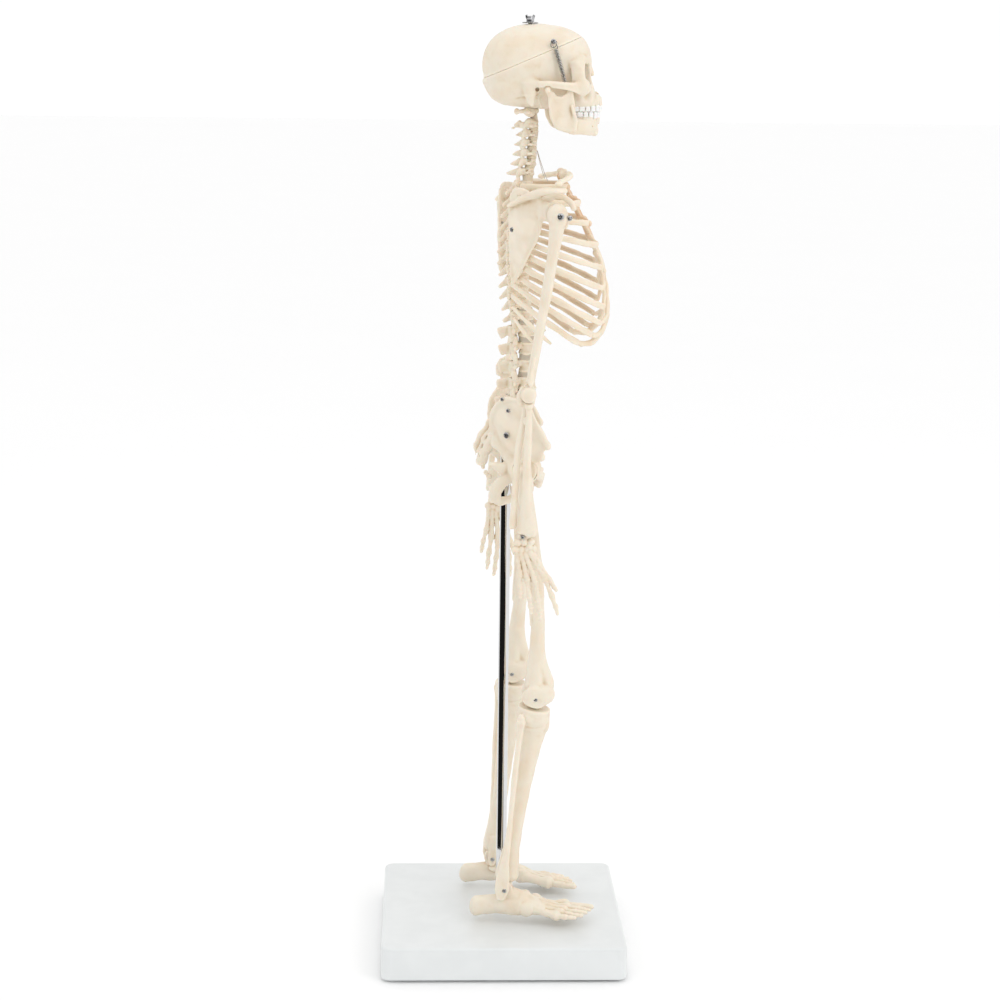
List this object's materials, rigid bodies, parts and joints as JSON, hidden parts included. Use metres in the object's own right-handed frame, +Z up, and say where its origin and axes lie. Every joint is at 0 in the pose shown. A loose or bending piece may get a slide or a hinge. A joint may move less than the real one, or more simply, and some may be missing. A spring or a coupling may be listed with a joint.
{
  "type": "human skeleton model",
  "caption": "Half-size human skeleton on a square base with a support rod; skull, jaw and limbs turn on screws and pins, for teaching anatomy.",
  "frame": {"origin": "centre of the base's underside, on the table", "axes": "+Z up, the skeleton faces -Y, its right side is at -X and its left side at +X"},
  "size_m": [0.22, 0.22, 0.8475],
  "materials": {
    "bone": "satin moulded plastic, warm cream",
    "cartilage": "satin moulded plastic, cream with an orange-brown tint",
    "disc": "soft translucent plastic",
    "base_white": "satin white",
    "chrome": "polished chrome",
    "zinc": "zinc-plated steel",
    "spring_steel": "bright spring wire",
    "rubber": "matt black"
  },
  "bodies": {
    "trunk": {"base_plinth": "base_white", "base_feet": "rubber", "support_rod": "chrome", "rod_nut": "zinc", "spine_core": "zinc", "lumbar_vertebrae": "bone", "thoracic_vertebrae": "bone", "cervical_vertebrae": "bone", "intervertebral_discs": "disc", "sacrum": "bone", "right_hip_bone": "bone", "left_hip_bone": "bone", "pubic_symphysis": "disc", "pelvis_screws": "zinc", "right_ribs": "bone", "left_ribs": "bone", "sternum": "bone", "costal_cartilages": "cartilage", "right_clavicle": "bone", "left_clavicle": "bone", "right_scapula": "bone", "left_scapula": "bone", "scapula_screws": "zinc", "right_shoulder_screw": "zinc", "left_shoulder_screw": "zinc", "right_hip_screw": "zinc", "left_hip_screw": "zinc"},
    "skull": {"cranium": "bone", "right_jaw_spring": "spring_steel", "left_jaw_spring": "spring_steel"},
    "cap": {"skull_cap": "bone", "temple_screws": "zinc", "cap_washer": "zinc"},
    "nut": {"wing_nut": "zinc"},
    "jaw": {"mandible": "bone"},
    "right_upper_arm": {"right_humerus": "bone", "right_elbow_pin": "zinc"},
    "right_forearm": {"right_radius": "bone", "right_ulna": "bone", "right_wrist_pin": "zinc"},
    "right_hand": {"right_hand": "bone"},
    "right_thigh": {"right_femur": "bone", "right_knee_pin": "zinc"},
    "right_shank": {"right_tibia": "bone", "right_fibula": "bone", "right_ankle_pin": "zinc"},
    "right_foot": {"right_foot": "bone"},
    "left_upper_arm": {"left_humerus": "bone", "left_elbow_pin": "zinc"},
    "left_forearm": {"left_radius": "bone", "left_ulna": "bone", "left_wrist_pin": "zinc"},
    "left_hand": {"left_hand": "bone"},
    "left_thigh": {"left_femur": "bone", "left_knee_pin": "zinc"},
    "left_shank": {"left_tibia": "bone", "left_fibula": "bone", "left_ankle_pin": "zinc"},
    "left_foot": {"left_foot": "bone"}
  },
  "joints": [
    {"name": "head_turn", "type": "hinge", "parent": "trunk", "child": "skull", "pos_m": [0, -0.017, 0.768], "axis": [0, 0, 1], "range_deg": [-80, 80]},
    {"name": "jaw_open", "type": "hinge", "parent": "skull", "child": "jaw", "pos_m": [0, -0.031, 0.783], "axis": [1, 0, 0], "range_deg": [0, 25], "stiffness_Nm_per_rad": 0.08, "springref_deg": -20.05, "deforming": ["right_jaw_spring", "left_jaw_spring"]},
    {"name": "skull_cap_lift", "type": "slide", "parent": "skull", "child": "cap", "axis": [0, 0, 1], "range_m": [0, 0.06]},
    {"name": "wing_nut_spin", "type": "hinge", "parent": "cap", "child": "nut", "pos_m": [0, -0.017, 0.843], "axis": [0, 0, 1], "continuous": true},
    {"name": "right_shoulder_swing", "type": "hinge", "parent": "trunk", "child": "right_upper_arm", "pos_m": [-0.084, -0.0405, 0.679], "axis": [-1, 0, 0], "range_deg": [-30, 150]},
    {"name": "right_elbow_bend", "type": "hinge", "parent": "right_upper_arm", "child": "right_forearm", "pos_m": [-0.088, -0.01551, 0.52704], "axis": [-1, 0, 0], "range_deg": [-5, 115]},
    {"name": "right_wrist_tilt", "type": "hinge", "parent": "right_forearm", "child": "right_hand", "pos_m": [-0.089, -0.012, 0.40309], "axis": [-1, 0, 0], "range_deg": [-25, 25]},
    {"name": "right_hip_swing", "type": "hinge", "parent": "trunk", "child": "right_thigh", "pos_m": [-0.043, -0.015, 0.453], "axis": [-1, 0, 0], "range_deg": [-20, 75]},
    {"name": "right_knee_bend", "type": "hinge", "parent": "right_thigh", "child": "right_shank", "pos_m": [-0.043, -0.02698, 0.24735], "axis": [1, 0, 0], "range_deg": [-4, 90]},
    {"name": "right_ankle_tilt", "type": "hinge", "parent": "right_shank", "child": "right_foot", "pos_m": [-0.043, -0.00117, 0.06517], "axis": [-1, 0, 0], "range_deg": [-4, 12]},
    {"name": "left_shoulder_swing", "type": "hinge", "parent": "trunk", "child": "left_upper_arm", "pos_m": [0.084, -0.033, 0.679], "axis": [-1, 0, 0], "range_deg": [-30, 150]},
    {"name": "left_elbow_bend", "type": "hinge", "parent": "left_upper_arm", "child": "left_forearm", "pos_m": [0.088, -0.00299, 0.52795], "axis": [-1, 0, 0], "range_deg": [-5, 115]},
    {"name": "left_wrist_tilt", "type": "hinge", "parent": "left_forearm", "child": "left_hand", "pos_m": [0.089, 0.00399, 0.40415], "axis": [-1, 0, 0], "range_deg": [-25, 25]},
    {"name": "left_hip_swing", "type": "hinge", "parent": "trunk", "child": "left_thigh", "pos_m": [0.043, -0.015, 0.453], "axis": [-1, 0, 0], "range_deg": [-20, 75]},
    {"name": "left_knee_bend", "type": "hinge", "parent": "left_thigh", "child": "left_shank", "pos_m": [0.043, -0.009, 0.24709], "axis": [1, 0, 0], "range_deg": [-4, 90]},
    {"name": "left_ankle_tilt", "type": "hinge", "parent": "left_shank", "child": "left_foot", "pos_m": [0.043, 0.00702, 0.06379], "axis": [-1, 0, 0], "range_deg": [-4, 12]}
  ]
}
